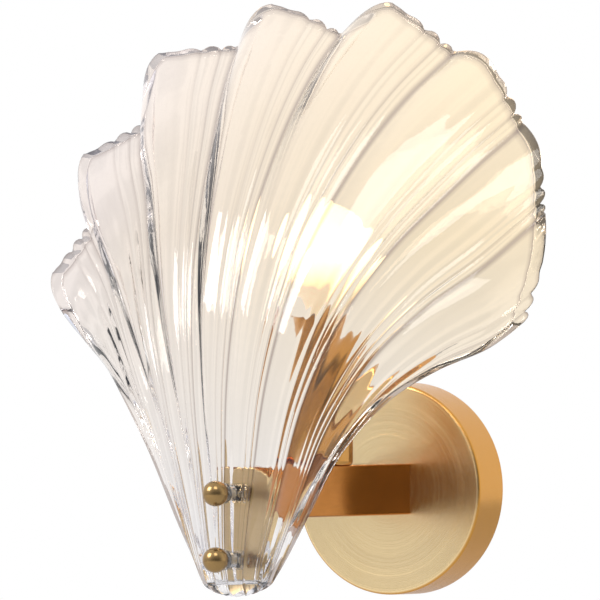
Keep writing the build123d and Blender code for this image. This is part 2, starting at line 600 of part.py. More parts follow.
# Blown globe, open below where it is glued on the collar.
with BuildPart() as bulb_globe:
    with BuildSketch(Plane.YZ):
        with Locations((HOLDER_Y, GLOBE_CENTRE_Z)):
            Circle(BULB_DIAMETER / 2)
            Circle(BULB_DIAMETER / 2 - GLOBE_WALL, mode=Mode.SUBTRACT)
        with Locations((HOLDER_Y - BULB_DIAMETER / 2, GLOBE_CENTRE_Z)):
            Rectangle(BULB_DIAMETER, 2 * BULB_DIAMETER, mode=Mode.SUBTRACT)
        with Locations((HOLDER_Y, COLLAR_TOP_Z - BULB_DIAMETER)):
            Rectangle(2 * BULB_DIAMETER, 2 * BULB_DIAMETER, mode=Mode.SUBTRACT)
    revolve(axis=Axis((0, HOLDER_Y, 0), (0, 0, 1)))
write(bulb_globe.part, "bulb_globe")

# ---- glass shell ----------------------------------------------------------------------------------------------------

with BuildLine() as side_edge:
    Spline([(x, BRACKET_FRONT_Y + y, z) for x, y, z in SIDE_EDGE])
with BuildLine() as front_middle:
    Spline([(x, BRACKET_FRONT_Y + y, z) for x, y, z in FRONT_MIDDLE])


def arch_plane(station, inset):
    """Plane of the arch across the shell at one station, with its half width and its height."""
    edge = side_edge.line @ station
    middle = front_middle.line @ station
    along = front_middle.line % station
    middle += Vector(0, along.Z, -along.Y) * inset
    foot = Vector(0, edge.Y, edge.Z)
    rise = middle - foot
    plane = Plane(origin=foot, x_dir=(1, 0, 0), z_dir=Vector(1, 0, 0).cross(rise))
    return plane, edge.X - inset, rise.length


def lobe_angle(place):
    """Degrees from the middle, at a place counted in lobes."""
    whole = min(floor(abs(place)), LOBES_PER_SIDE - 1)
    angle = LOBE_ENDS[whole] + (abs(place) - whole) * (LOBE_ENDS[whole + 1] - LOBE_ENDS[whole])
    return angle if place >= 0 else -angle


def crest(share, crest_share, fall_power):
    """Height over the valleys, from 0 to 1: a steep rise to the crest and a long fall."""
    rise = min(share / crest_share, 1)
    fall = max(share - crest_share, 0) / (1 - crest_share)
    return sin(radians(90 * rise)) * (1 - fall**fall_power)


def arch_point(station, lobe, share, width, height):
    """Point of an arch in its plane, at a share of one lobe."""
    angle = radians(lobe_angle(lobe + share))
    narrowing = 1 - (BODY_NARROWING - RIM_WIDENING * station**6) * cos(angle) ** 2
    out_x = height * sin(angle)
    out_y = width * cos(angle)
    growth = (PLEAT_DEPTHS[lobe + LOBES_PER_SIDE] - NECK_PLEAT_DEPTH) * station**PLEAT_GROWTH_POWER
    pleat = (NECK_PLEAT_DEPTH + growth) * crest(share, CREST_SHARE, CREST_FALL_POWER) / sqrt(out_x**2 + out_y**2)
    return (width * sin(angle) * narrowing + pleat * out_x, height * cos(angle) + pleat * out_y)


def draw_arch(station, width, height):
    """Draws the pleated arch from the left edge to the right one and returns its ends."""
    for lobe in range(-LOBES_PER_SIDE, LOBES_PER_SIDE):
        for low, high in ((0, CREST_SHARE), (CREST_SHARE, 1)):
            shares = [low + (high - low) * step / 3 for step in range(4)]
            Spline([arch_point(station, lobe, share, width, height) for share in shares])
    start = arch_point(station, -LOBES_PER_SIDE, 0, width, height)
    end = arch_point(station, LOBES_PER_SIDE - 1, 1, width, height)
    return Vector(start), Vector(end)


STATIONS = [0, 0.05, 0.12, 0.2, 0.3, 0.4, 0.52, 0.64, 0.76, 0.88, 1]
HOLLOW_STATIONS = [0.03, 0.07] + STATIONS[2:]
HOLLOW_LEG = 25

# The room side: one loft through the pleated arches, each closed straight across the back.
with BuildPart() as glass_outside:
    for station in STATIONS:
        plane, width, height = arch_plane(station, 0)
        with BuildSketch(plane):
            with BuildLine():
                start, end = draw_arch(station, width, height)
                Line(end, start)
            make_face()
    loft()

# The wall side: the same arches drawn in by the wall of the glass, with legs that open the back.
with BuildPart() as glass_hollow:
    for station in HOLLOW_STATIONS:
        plane, width, height = arch_plane(station, GLASS_THICKNESS)
        with BuildSketch(plane):
            with BuildLine():
                start, end = draw_arch(station, width, height)
                leg = Vector(0, HOLLOW_LEG)
                Polyline(end, end - leg, start - leg, start)
            make_face()
    loft()


rim_plane, rim_width, rim_height = arch_plane(RIM_STATION, 0)


def rim_point(lobe, share, spread):
    """Point of the scalloped rim in its plane, at a share of one lobe."""
    outwards = Vector(arch_point(RIM_STATION, lobe, share, rim_width, rim_height)).normalized()
    count = lobe + LOBES_PER_SIDE
    notch = RIM_NOTCH_RADII[count] + share * (RIM_NOTCH_RADII[count + 1] - RIM_NOTCH_RADII[count])
    scallop = RIM_SCALLOP_DEPTHS[count] * crest(share, RIM_CREST_SHARE, RIM_FALL_POWER)
    return outwards * (notch + scallop + spread)


# The rim: a scalloped outline that widens towards the room, so that the rim's face is square to the glass.
RIM_REACH = 60
SKIRT_WIDTH = 60  # beyond the shell's sides, where the outline closes
SKIRT_DROP = 300
with BuildPart() as rim_outline:
    for side in (-1, 1):
        spread = side * RIM_REACH * tan(radians(RIM_FACE_LEAN))
        with BuildSketch(rim_plane.offset(side * RIM_REACH)):
            with BuildLine():
                for lobe in range(-LOBES_PER_SIDE, LOBES_PER_SIDE):
                    for low, high in ((0, RIM_CREST_SHARE), (RIM_CREST_SHARE, 1)):
                        shares = [low + (high - low) * step / 3 for step in range(4)]
                        Spline([rim_point(lobe, share, spread) for share in shares])
                start = Vector(rim_point(-LOBES_PER_SIDE, 0, spread))
                end = Vector(rim_point(LOBES_PER_SIDE - 1, 1, spread))
                Polyline(
                    end,
                    end + (SKIRT_WIDTH, -SKIRT_WIDTH / 2),
                    end + (SKIRT_WIDTH, -SKIRT_DROP),
                    start + (-SKIRT_WIDTH, -SKIRT_DROP),
                    start + (-SKIRT_WIDTH, -SKIRT_WIDTH / 2),
                    start,
                )
            make_face()
    loft(ruled=True)

with BuildPart() as glass_shell:
    add(glass_outside.part)
    add(glass_hollow.part, mode=Mode.SUBTRACT)
    add(rim_outline.part, mode=Mode.INTERSECT)
    for stud_z in STUD_HEIGHTS.values():
        with BuildSketch(Plane.XZ.offset(-BRACKET_FRONT_Y)):
            with Locations((0, stud_z)):
                Circle(GLASS_HOLE_DIAMETER / 2)
        extrude(amount=-GLASS_FRONT_Y, mode=Mode.SUBTRACT)
write(glass_shell.part, "glass_shell")

# ---- glass fixings --------------------------------------------------------------------------------------------------

WASHER_BORE = STUD_DIAMETER / 2 + PLAY / 2
FRONT_WASHER_BACK_Y = GLASS_FRONT_Y - NECK_PLEAT_DEPTH - 2 * PLAY
FRONT_WASHER_FRONT_Y = FRONT_WASHER_BACK_Y - FRONT_WASHER_THICKNESS
KNOB_CENTRE_Y = FRONT_WASHER_FRONT_Y - sqrt(KNOB_DIAMETER**2 - KNOB_FLAT_DIAMETER**2) / 2
STUD_FRONT_Y = FRONT_WASHER_FRONT_Y - KNOB_THREAD_DEPTH + STUD_END_GAP
STUD_BACK_Y = {"upper": ARM_END_Y + 0.8 * ARM_BLOCK_LENGTH, "lower": ARM_END_Y}

# Threaded rods: the upper one runs on into the block in the end of the arm.
with BuildPart() as glass_studs:
    for name, stud_z in STUD_HEIGHTS.items():
        with BuildSketch(Plane.XZ.offset(-STUD_BACK_Y[name])):
            with Locations((0, stud_z)):
                Circle(STUD_DIAMETER / 2)
        extrude(amount=STUD_BACK_Y[name] - STUD_FRONT_Y)
write(glass_studs.part, "glass_studs")

# Hexagon nuts that lock the studs against the bracket.
with BuildPart() as stud_nuts:
    with BuildSketch(Plane.XZ.offset(-BRACKET_FRONT_Y)):
        for stud_z in STUD_HEIGHTS.values():
            with Locations((0, stud_z)):
                RegularPolygon(STUD_NUT_ACROSS_FLATS / 2, 6, major_radius=False)
                Circle(STUD_DIAMETER / 2 + THREAD_GAP, mode=Mode.SUBTRACT)
    extrude(amount=STUD_NUT_THICKNESS)
write(stud_nuts.part, "stud_nuts")

# Clear rings between the nuts and the back of the glass.
with BuildPart() as glass_spacers:
    with BuildSketch(Plane.XZ.offset(-STUD_NUT_FRONT_Y)):
        for stud_z in STUD_HEIGHTS.values():
            with Locations((0, stud_z)):
                Circle(SPACER_DIAMETER / 2)
                Circle(WASHER_BORE, mode=Mode.SUBTRACT)
    extrude(amount=STUD_NUT_FRONT_Y - GLASS_BACK_Y - 3 * PLAY)
write(glass_spacers.part, "glass_spacers")

# Clear sleeves that keep the studs off the edges of the holes in the glass.
with BuildPart() as hole_sleeves:
    with BuildSketch(Plane.XZ.offset(-GLASS_BACK_Y)):
        for stud_z in STUD_HEIGHTS.values():
            with Locations((0, stud_z)):
                Circle(WASHER_BORE + SLEEVE_WALL)
                Circle(WASHER_BORE, mode=Mode.SUBTRACT)
    extrude(amount=GLASS_THICKNESS)
write(hole_sleeves.part, "hole_sleeves")

# Clear washer and brass ball on the front end of each stud. The ball has a flat back and a blind tapped hole.
for name, stud_z in STUD_HEIGHTS.items():
    with BuildPart() as front_washer:
        with BuildSketch(Plane.XZ.offset(-FRONT_WASHER_BACK_Y)):
            with Locations((0, stud_z)):
                Circle(FRONT_WASHER_DIAMETER / 2)
                Circle(WASHER_BORE, mode=Mode.SUBTRACT)
        extrude(amount=FRONT_WASHER_THICKNESS)
    write(front_washer.part, f"{name}_front_washer")

    with BuildPart() as ball_knob:
        with Locations((0, KNOB_CENTRE_Y, stud_z)):
            Sphere(KNOB_DIAMETER / 2)
        with BuildSketch(Plane.XZ.offset(-FRONT_WASHER_FRONT_Y)):
            with Locations((0, stud_z)):
                Rectangle(KNOB_DIAMETER, KNOB_DIAMETER)
        extrude(amount=-KNOB_DIAMETER, mode=Mode.SUBTRACT)
        with BuildSketch(Plane.XZ.offset(-FRONT_WASHER_FRONT_Y)):
            with Locations((0, stud_z)):
                Circle(STUD_DIAMETER / 2 + TURNING_GAP)
        extrude(amount=KNOB_THREAD_DEPTH, mode=Mode.SUBTRACT)
    write(ball_knob.part, f"{name}_ball_knob")
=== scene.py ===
"""Shell wall sconce, dressed for its picture: metres, wall at y = 0, room towards -Y, +Z up."""
from math import cos, pi, radians, sin, tan

import bmesh
import bpy
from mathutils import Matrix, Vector


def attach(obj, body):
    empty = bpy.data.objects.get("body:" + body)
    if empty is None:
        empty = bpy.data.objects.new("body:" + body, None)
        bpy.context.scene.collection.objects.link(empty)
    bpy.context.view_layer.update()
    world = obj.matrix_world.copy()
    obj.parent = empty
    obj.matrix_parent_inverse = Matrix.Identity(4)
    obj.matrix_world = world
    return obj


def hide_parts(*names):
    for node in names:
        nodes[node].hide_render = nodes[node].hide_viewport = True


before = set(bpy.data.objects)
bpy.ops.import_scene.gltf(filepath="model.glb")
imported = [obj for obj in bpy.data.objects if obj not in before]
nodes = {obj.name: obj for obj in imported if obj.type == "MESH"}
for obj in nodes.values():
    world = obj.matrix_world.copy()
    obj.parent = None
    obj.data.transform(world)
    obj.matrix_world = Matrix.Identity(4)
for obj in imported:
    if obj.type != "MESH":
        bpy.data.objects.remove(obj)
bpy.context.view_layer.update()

# ---- mounting bar --------------------------------------------------------------------------------
# A strip of zinc-plated steel, bent at both ends and screwed to the wall. The plating is a soft
# grey with a faint spangle. The bar is the first piece, so the classes that all materials and the
# glass are written with are here too.

NOISE_MIDDLE = (0.3, 0.7)  # where most of a noise lies
FINE_MARKS = 0.00001
TOOL_MARKS = 0.00002


class Term:
    """A number or vector of a node tree, on which sums can be written."""

    def __init__(self, wiring, socket):
        self.wiring = wiring
        self.socket = socket

    def math(self, operation, *others):
        values = dict(enumerate((self, *others)))
        return self.wiring.add("ShaderNodeMath", {"operation": operation}, values)

    def __add__(self, other):
        return self.math("ADD", other)

    def __radd__(self, other):
        return self.math("ADD", other)

    def __mul__(self, other):
        return self.math("MULTIPLY", other)

    def __rmul__(self, other):
        return self.math("MULTIPLY", other)

    def __sub__(self, other):
        return self.math("SUBTRACT", other)

    def __rsub__(self, other):
        return self.wiring.add("ShaderNodeMath", {"operation": "SUBTRACT"}, {0: other, 1: self})

    def __truediv__(self, other):
        return self.math("DIVIDE", other)

    def __pow__(self, other):
        return self.math("POWER", other)

    def __neg__(self):
        return self.math("MULTIPLY", -1)

    def ramp(self, low, high, start=0.0, end=1.0):
        """The value carried from low..high to start..end and held there."""
        values = {"Value": self, "From Min": low, "From Max": high, "To Min": start, "To Max": end}
        return self.wiring.add("ShaderNodeMapRange", {"clamp": True}, values)

    def spread(self, start=0.0, end=1.0):
        """A noise carried to start..end."""
        return self.ramp(*NOISE_MIDDLE, start, end)


class Wiring:
    """Adds nodes to one tree."""

    MIX_INPUTS = (0, 6, 7)  # the factor and the two colours of a Mix node on colours
    MIX_RESULT = 2

    def __init__(self, tree):
        self.tree = tree

    def add(self, kind, settings=None, values=None, output=0):
        """An output of a new node, with these settings and these values or links at its inputs."""
        node = self.tree.nodes.new(kind)
        for name, value in (settings or {}).items():
            setattr(node, name, value)
        for name, value in (values or {}).items():
            socket = node.inputs[name]
            if isinstance(value, Term):
                self.tree.links.new(value.socket, socket)
            else:
                socket.default_value = value
        return Term(self, node.outputs[output])

    def blend(self, factor, first, second):
        """A colour between two others."""
        colours = [c if isinstance(c, Term) else (*c, 1) for c in (first, second)]
        values = dict(zip(self.MIX_INPUTS, (factor, *colours)))
        return self.add("ShaderNodeMix", {"data_type": "RGBA"}, values, self.MIX_RESULT)

    def vector(self, x, y, z):
        return self.add("ShaderNodeCombineXYZ", None, {0: x, 1: y, 2: z})

    def parts(self, vector):
        """The three numbers of a vector."""
        split = self.add("ShaderNodeSeparateXYZ", None, {0: vector})
        return [Term(self, socket) for socket in split.socket.node.outputs]

    def vectors(self, operation, *vectors, output=0):
        values = dict(enumerate(vectors))
        return self.add("ShaderNodeVectorMath", {"operation": operation}, values, output)


class Finish(Wiring):
    """A material: one surface shader, with patterns that follow the piece's own place."""

    def __init__(self, name, **uniform):
        self.material = bpy.data.materials.new(name)
        self.material.use_nodes = True
        super().__init__(self.material.node_tree)
        self.shader = self.tree.nodes["Principled BSDF"]
        for socket, value in uniform.items():
            self.shader.inputs[socket.replace("_", " ")].default_value = value
        self.place = self.add("ShaderNodeTexCoord", output="Object")

    def noise(self, scale, detail, place=None):
        values = {"Vector": place or self.place, "Scale": scale, "Detail": detail}
        return self.add("ShaderNodeTexNoise", None, values)

    def lay(self, colour, roughness=None, relief=None, depth=TOOL_MARKS, strength=1.0):
        """Joins the patterns to the shader. The relief's depth is in metres."""
        self.tree.links.new(colour.socket, self.shader.inputs["Base Color"])
        if roughness is not None:
            self.tree.links.new(roughness.socket, self.shader.inputs["Roughness"])
        if relief is not None:
            values = {"Height": relief, "Distance": depth, "Strength": strength}
            bump = self.add("ShaderNodeBump", None, values)
            self.tree.links.new(bump.socket, self.shader.inputs["Normal"])


def dress(material, *names):
    """Gives CAD nodes a material in place of their plain one."""
    for name in names:
        mesh = nodes[name].data
        mesh.materials.clear()
        mesh.materials.append(material)


ZINC_TONES = ((0.50, 0.51, 0.52), (0.66, 0.67, 0.66))
ZINC_GLOSS = (0.32, 0.46)
SPANGLE = (260, 3)
SPANGLE_EDGES = (0.35, 0.65)
ZINC_GRAIN = (1500, 2)
zinc = Finish("zinc plating", Metallic=1.0)
spangle = zinc.noise(*SPANGLE)
zinc_colour = zinc.blend(spangle.ramp(*SPANGLE_EDGES), *ZINC_TONES)
zinc.lay(zinc_colour, spangle.spread(*ZINC_GLOSS), zinc.noise(*ZINC_GRAIN))
dress(zinc.material, "mounting_bar")

# ---- bar's screws and terminal block -------------------------------------------------------------
# Plain brass screws, cut on a lathe and left unpolished: two grub screws, the earth screw and its
# washer. The terminal block is a white moulding, held on the bar by one steel screw.


def plain_finish(name, tones, gloss, grain, marks=None, depth=TOOL_MARKS, **uniform):
    """Two close tones in a fine grain, which also sets the gloss, and the relief if no marks do."""
    finish = Finish(name, **uniform)
    pattern = finish.noise(*grain)
    relief = finish.noise(*marks) if marks else pattern
    finish.lay(finish.blend(pattern.spread(), *tones), pattern.spread(*gloss), relief, depth)
    return finish.material


screw_brass = plain_finish(
    "screw brass",
    tones=((0.60, 0.42, 0.17), (0.74, 0.55, 0.26)),
    gloss=(0.22, 0.36),
    grain=(2600, 2),
    Metallic=1.0,
)
dress(screw_brass, "cover_grub_screws", "earth_washer", "earth_screw", "terminal_clamp_screws")
dress(zinc.material, "terminal_block_screw")

white_moulding = plain_finish(
    "white moulding",
    tones=((0.78, 0.77, 0.73), (0.83, 0.82, 0.79)),
    gloss=(0.38, 0.5),
    grain=(420, 3),
    marks=(3000, 2),
    Specular_IOR_Level=0.4,
)
dress(white_moulding, "terminal_block")

# ---- wall cover ----------------------------------------------------------------------------------
# A cup spun from brass sheet and lacquered. Its face is turned with fine rings round the middle,
# and its rim has a deeper, more orange tone.

COVER_FACE_DEEP = (0.82, 0.58, 0.25)
COVER_FACE_PALE = (0.95, 0.73, 0.40)
COVER_RIM = (0.68, 0.33, 0.07)
COVER_RIM_FROM = 0.0488
COVER_RIM_FULL = 0.0496
COVER_GLOSS = (0.22, 0.26)
RING_FINENESS = 7000
RING_DEPTH = 0.00005
TARNISH = (28, 3)
TARNISH_REACH = (0.35, 0.75, 0.0, 0.25)  # the range of a cloud in which the tone deepens, and how far
cover_brass = Finish("turned brass", Metallic=1.0)
x, y, z = cover_brass.parts(cover_brass.place)
radius = (x**2 + z**2) ** 0.5
ring_place = cover_brass.vector(radius, y, 0.0)
rings = cover_brass.noise(RING_FINENESS, 1, ring_place)
streaks = cover_brass.noise(RING_FINENESS, 2, ring_place)
tarnish = cover_brass.noise(*TARNISH)
tone = cover_brass.blend(streaks.spread(0.6, 1.0), COVER_FACE_DEEP, COVER_FACE_PALE)
tone = cover_brass.blend(tarnish.ramp(*TARNISH_REACH), tone, COVER_FACE_DEEP)
tone = cover_brass.blend(radius.ramp(COVER_RIM_FROM, COVER_RIM_FULL), tone, COVER_RIM)
cover_brass.lay(tone, streaks.spread(*COVER_GLOSS), rings, RING_DEPTH)
dress(cover_brass.material, "wall_cover")

# ---- arm and its fixings -------------------------------------------------------------------------
# A square brass tube, polished lengthwise, with a machined block brazed into each end. A hollow
# nipple, a washer and a nut clamp it to the cover from inside.

POLISHING_LINES = (3800, 2)
POLISHING_STRENGTH = 0.6
CLOUD = (38, 3)


def polished_brass(name, pale, deep, stretch, gloss):
    """Brass with faint polishing lines, drawn out along the way with the smallest stretch."""
    finish = Finish(name, Metallic=1.0)
    drawn = finish.vectors("MULTIPLY", finish.place, stretch)
    lines = finish.noise(*POLISHING_LINES, drawn)
    cloud = finish.noise(*CLOUD)
    tone = finish.blend(lines.spread(0.5, 1.0), deep, pale)
    tone = finish.blend(cloud.ramp(*TARNISH_REACH), tone, deep)
    finish.lay(tone, cloud.spread(*gloss), lines, FINE_MARKS, POLISHING_STRENGTH)
    return finish.material


arm_brass = polished_brass(
    "polished brass",
    pale=(0.54, 0.21, 0.035),
    deep=(0.36, 0.125, 0.012),
    stretch=(1.0, 0.04, 1.0),
    gloss=(0.12, 0.2),
)
dress(arm_brass, "arm")
dress(screw_brass, "arm_rear_block", "arm_front_block", "arm_nut")
dress(zinc.material, "arm_nipple", "arm_washer")

# ---- glass bracket -------------------------------------------------------------------------------
# A flat brass tongue with rounded lower corners, screwed to the front end of the arm. It is brushed
# across.

bracket_brass = polished_brass(
    "brushed brass",
    pale=(0.80, 0.62, 0.34),
    deep=(0.66, 0.47, 0.22),
    stretch=(0.05, 1.0, 1.0),
    gloss=(0.26, 0.36),
)
dress(bracket_brass, "glass_bracket")

# ---- lamp holder ---------------------------------------------------------------------------------
# A moulded holder in a drawn brass cup. The cup stands on the arm, on a hollow nipple with a washer
# and a nut. The holder's two halves are dark phenolic mouldings, with a screw shell and a sprung
# contact inside.

cup_brass = polished_brass(
    "cup brass",
    pale=(0.66, 0.35, 0.10),
    deep=(0.46, 0.21, 0.05),
    stretch=(1.0, 1.0, 0.05),
    gloss=(0.14, 0.22),
)
dress(cup_brass, "holder_cup")
dress(zinc.material, "holder_nipple", "holder_washer")
dress(screw_brass, "holder_nut", "screw_shell", "middle_contact")

dark_moulding = plain_finish(
    "dark moulding",
    tones=((0.012, 0.011, 0.010), (0.030, 0.026, 0.022)),
    gloss=(0.3, 0.44),
    grain=(700, 3),
    marks=(2600, 2),
)
dress(dark_moulding, "holder_base", "holder_sleeve", "bulb_insulator")

# ---- bulb ----------------------------------------------------------------------------------------
# A 45 mm golf-ball bulb, lit: an opal globe glued on a plastic collar, with a rolled metal cap. A
# round board in the collar carries the light sources.

cap_metal = plain_finish(
    "cap metal",
    tones=((0.58, 0.57, 0.55), (0.72, 0.71, 0.69)),
    gloss=(0.2, 0.3),
    grain=(1800, 2),
    depth=FINE_MARKS,
    Metallic=1.0,
)
dress(cap_metal, "bulb_cap", "bulb_contact")

# The plastic collar has a soft painted glow, though it gives no light; the hidden board shares its
# material.
collar_plastic_painted_glow = plain_finish(
    "collar plastic",
    tones=((0.80, 0.78, 0.72), (0.86, 0.85, 0.80)),
    gloss=(0.25, 0.35),
    grain=(900, 2),
    depth=FINE_MARKS,
    Emission_Strength=0.5,
    Emission_Color=(1.0, 0.86, 0.66, 1.0),
)
dress(collar_plastic_painted_glow, "bulb_collar", "led_board")

GLOBE_HAZE = (60, 2)
GLOBE_TONES = ((0.90, 0.86, 0.78), (0.94, 0.91, 0.84))
GLOBE_LIGHT = ((1.0, 0.80, 0.52), (1.0, 0.84, 0.58))
GLOBE_FOOT_LIGHT = (0.24, 0.17, 0.09)
GLOBE_TOP_LIGHT = (0.42, 0.32, 0.20)
GLOBE_FOOT_HEIGHTS = (0.094, 0.110)
GLOBE_TOP_HEIGHTS = (0.120, 0.142)
GLOBE_TOP_SHARE = 0.7
opal = Finish("lit opal glass", Roughness=0.25, Emission_Strength=2.6, Coat_Weight=1.0)
haze = opal.noise(*GLOBE_HAZE)
_, _, globe_height = opal.parts(opal.place)
light = opal.blend(haze.spread(), *GLOBE_LIGHT)
light = opal.blend(globe_height.ramp(*GLOBE_FOOT_HEIGHTS), GLOBE_FOOT_LIGHT, light)
top_share = globe_height.ramp(*GLOBE_TOP_HEIGHTS, 0.0, GLOBE_TOP_SHARE)
light = opal.blend(top_share, light, GLOBE_TOP_LIGHT)
opal.tree.links.new(light.socket, opal.shader.inputs["Emission Color"])
opal.lay(opal.blend(haze.spread(), *GLOBE_TONES))
dress(opal.material, "bulb_globe")

# ---- glass shell ---------------------------------------------------------------------------------
# One pressing of clear soda glass, fire polished round its rim. Eight pleats fan out from the neck,
# each with a steep side, a smooth crest and three small ribs on its long side. The two studs pass
# through its neck.

# The neck, the sides and the front, as points in millimetres from the front of the bracket.
BRACKET_FRONT = -153.0
METRES_PER_MILLIMETRE = 0.001
SIDE_EDGE = [
    (15, -5, -46),
    (24, -3, -32),
    (35, -2, -13),
    (51, 1, 16),
    (71, 10, 41),
    (91, 25.5, 57),
    (111, 41, 68),
    (130, 48, 84),
    (141, 59, 100),
    (151, 72, 117),
]
FRONT_MIDDLE = [
    (0, -7, -51),
    (0, -15, -43),
    (0, -18, -25),
    (0, -18, 14),
    (0, -17, 45),
    (0, -13, 72),
    (0, -6, 98),
    (0, 6, 125),
    (0, 23, 152),
    (0, 43, 177),
    (0, 66, 199),
    (0, 91, 217),
    (0, 113, 232),
    (0, 137, 244),
]
GUIDE_STEPS = 12
PATH_LENGTH = 370.0

# The pleats, from left to right.
LOBES = 8
LOBES_PER_SIDE = 4
LOBE_ENDS = [0, 28, 52, 71, 90]  # degrees from the middle of the arch
PLEAT_DEPTHS = [10, 17, 20, 20, 16, 13, 12, 8]
PLEAT_GROWTH = 2.4
CREST_FALL = 1.5
RIM_WIDENING_POWER = 6

# The scalloped rim.
RIM_NOTCH_RADII = [129, 126, 143, 150, 134, 144, 141, 134, 124]
RIM_SCALLOP_DEPTHS = [12, 31, 34, 19, 19, 6, 2, 0.5]
RIM_CREST_FALL = 0.8
RIM_STATION = 0.835
RIM_SEARCH_START = 0.85
RIM_SEARCH_STEPS = 5
RIM_ROUNDNESS = 0.4
RIM_MARGIN = 0.2
SIDE_ROUNDNESS = 0.4
EDGE_SQUARENESS = 0.35

# The ribs on the long side of each pleat, and the ripples that they leave in the rim.
RIBS_START = 0.42
RIB_SPREAD = 1.4
RIB_SQUARENESS = 0.7
RIB_FADE_SHARES = (0, 0.15)
RIB_FADE_STATIONS = (0.02, 0.32)
RIM_RIPPLE = 1.2
RIPPLE_FADE = 0.1

# The foot of the neck, where the front folds round to the back.
HOLLOW_STATION = 0.026
FOOT_ROUNDING = 0.55

# The mesh.
COLUMNS_PER_LOBE = 34
SIDE_COLUMNS = 5
RIM_ROWS = 10
BODY_ROWS = 96
FOOT_ROWS = 12
STATION_STEP = 0.01
WELD_DISTANCE = 0.001

# The dark lines of painted shade along the creases, as shares and rows of the mesh.
VALLEY_SHARE = 0.055
RIB_LINE_SHARPNESS = 5
RIB_SHADE_DARKNESS = 0.6
LIP_HALF_ROWS = 2.2

# Clear glass with the bulb's warm light painted into its colour: cream to the right, cooler and
# greyer to the left, and silver at the neck. Far from the neck it has a faint painted glow.
COOL_PAINTED_LIGHT = (0.86, 0.77, 0.71)
WARM_PAINTED_LIGHT = (0.98, 0.82, 0.58)
SILVER_PAINTED_LIGHT = (0.93, 0.91, 0.91)
CREASE_PAINTED_SHADE = (0.30, 0.23, 0.20)
COOL_GLOW = (0.80, 0.78, 0.92)
WARM_GLOW = (1.0, 0.86, 0.66)
NO_GLOW = (0.0, 0.0, 0.0)
WARM_FROM_LEFT = (-0.10, 0.11)
WARMTH_CLOUD = (18, 3)
WARMTH_WANDER = 0.05
SILVER_HEIGHTS = (-0.03, 0.12)
CREASE_SHADE_REACH = (0.05, 0.8, 0.0, 0.95)
NECK = (0.0, -0.16, -0.04)
GLOW_FROM_NECK = (0.17, 0.27)
FIRE_POLISH = (150, 2)
FIRE_POLISH_DEPTH = 0.0004
FIRE_POLISH_STRENGTH = 0.12
clear_glass = Finish(
    "clear pressed glass",
    Roughness=0.03,
    IOR=1.47,
    Transmission_Weight=1.0,
    Emission_Strength=0.06,
)
glass_x, _, glass_z = clear_glass.parts(clear_glass.place)
# Painted light: the bulb's warm light drawn into the glass's colour, cream to the right, cooler to
# the left and silver at the neck.
wander = clear_glass.noise(*WARMTH_CLOUD) * WARMTH_WANDER
painted_warmth = (glass_x + wander).ramp(*WARM_FROM_LEFT)
painted_light_tint = clear_glass.blend(painted_warmth, COOL_PAINTED_LIGHT, WARM_PAINTED_LIGHT)
painted_light_tint = clear_glass.blend(glass_z.ramp(*SILVER_HEIGHTS), SILVER_PAINTED_LIGHT, painted_light_tint)
# Painted shade: the glass is drawn darker along its creases, valleys, rib sides and lip.
crease_shade_mark = clear_glass.add("ShaderNodeAttribute", {"attribute_name": "crease"}, output="Fac")
painted_light_tint = clear_glass.blend(crease_shade_mark.ramp(*CREASE_SHADE_REACH), painted_light_tint, CREASE_PAINTED_SHADE)
# A faint painted glow of the bulb's light in the glass, strongest far from the neck.
glow = clear_glass.blend(painted_warmth, COOL_GLOW, WARM_GLOW)
from_neck = clear_glass.vectors("DISTANCE", clear_glass.place, NECK, output="Value")
glow = clear_glass.blend(from_neck.ramp(*GLOW_FROM_NECK), NO_GLOW, glow)
clear_glass.tree.links.new(glow.socket, clear_glass.shader.inputs["Emission Color"])
fire_polish = clear_glass.noise(*FIRE_POLISH)
clear_glass.lay(painted_light_tint, None, fire_polish, FIRE_POLISH_DEPTH, FIRE_POLISH_STRENGTH)


def add_object(name, data):
    """A new object in the scene."""
    thing = bpy.data.objects.new(name, data)
    bpy.context.scene.collection.objects.link(thing)
    return thing


def guide_curve(name, points):
    """A line through points given in millimetres from the bracket."""
    curve = bpy.data.curves.new(name, "CURVE")
    curve.dimensions = "3D"
    spline = curve.splines.new("POLY")
    spline.points.add(len(points) - 1)
    for point, (x, y, z) in zip(spline.points, points):
        point.co = (x, BRACKET_FRONT + y, z, 1)
    return add_object(name, curve)


